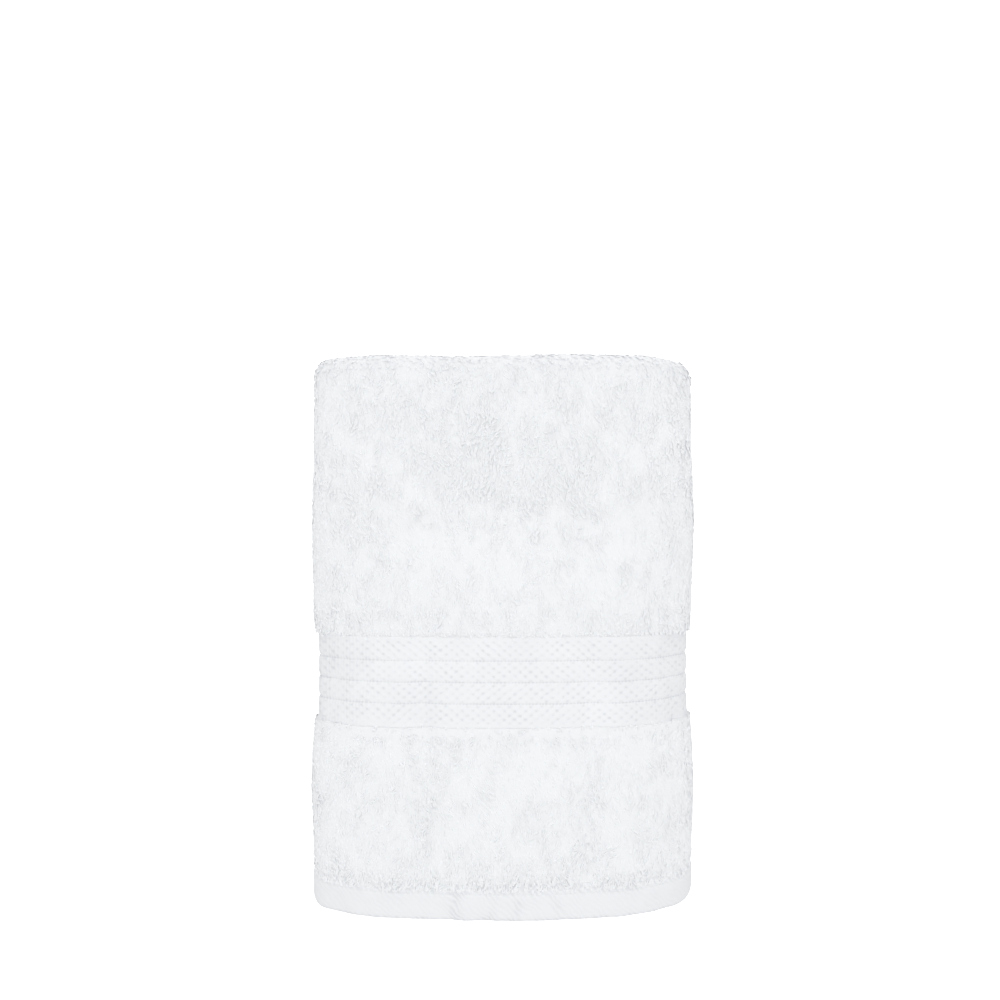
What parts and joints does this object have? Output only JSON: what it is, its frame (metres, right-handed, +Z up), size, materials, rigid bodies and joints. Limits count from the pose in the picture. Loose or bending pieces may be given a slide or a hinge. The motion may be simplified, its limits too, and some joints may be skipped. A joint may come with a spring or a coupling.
{
  "type": "bath towel",
  "caption": "Folded cotton terry bath towel standing upright on its hems, with a ribbed woven border and a plain turned hem.",
  "frame": {"origin": "on the surface that the towel stands on, under the middle of its box", "axes": "+Z up along the towel's length, -Y out of the front face with the border, +X to the viewer's right"},
  "size_m": [0.25, 0.0782, 0.3456],
  "materials": {
    "terry_cotton": "matt white cotton terry with a flat woven border"
  },
  "bodies": {
    "root": {"towel_cloth": "terry_cotton"}
  },
  "joints": []
}
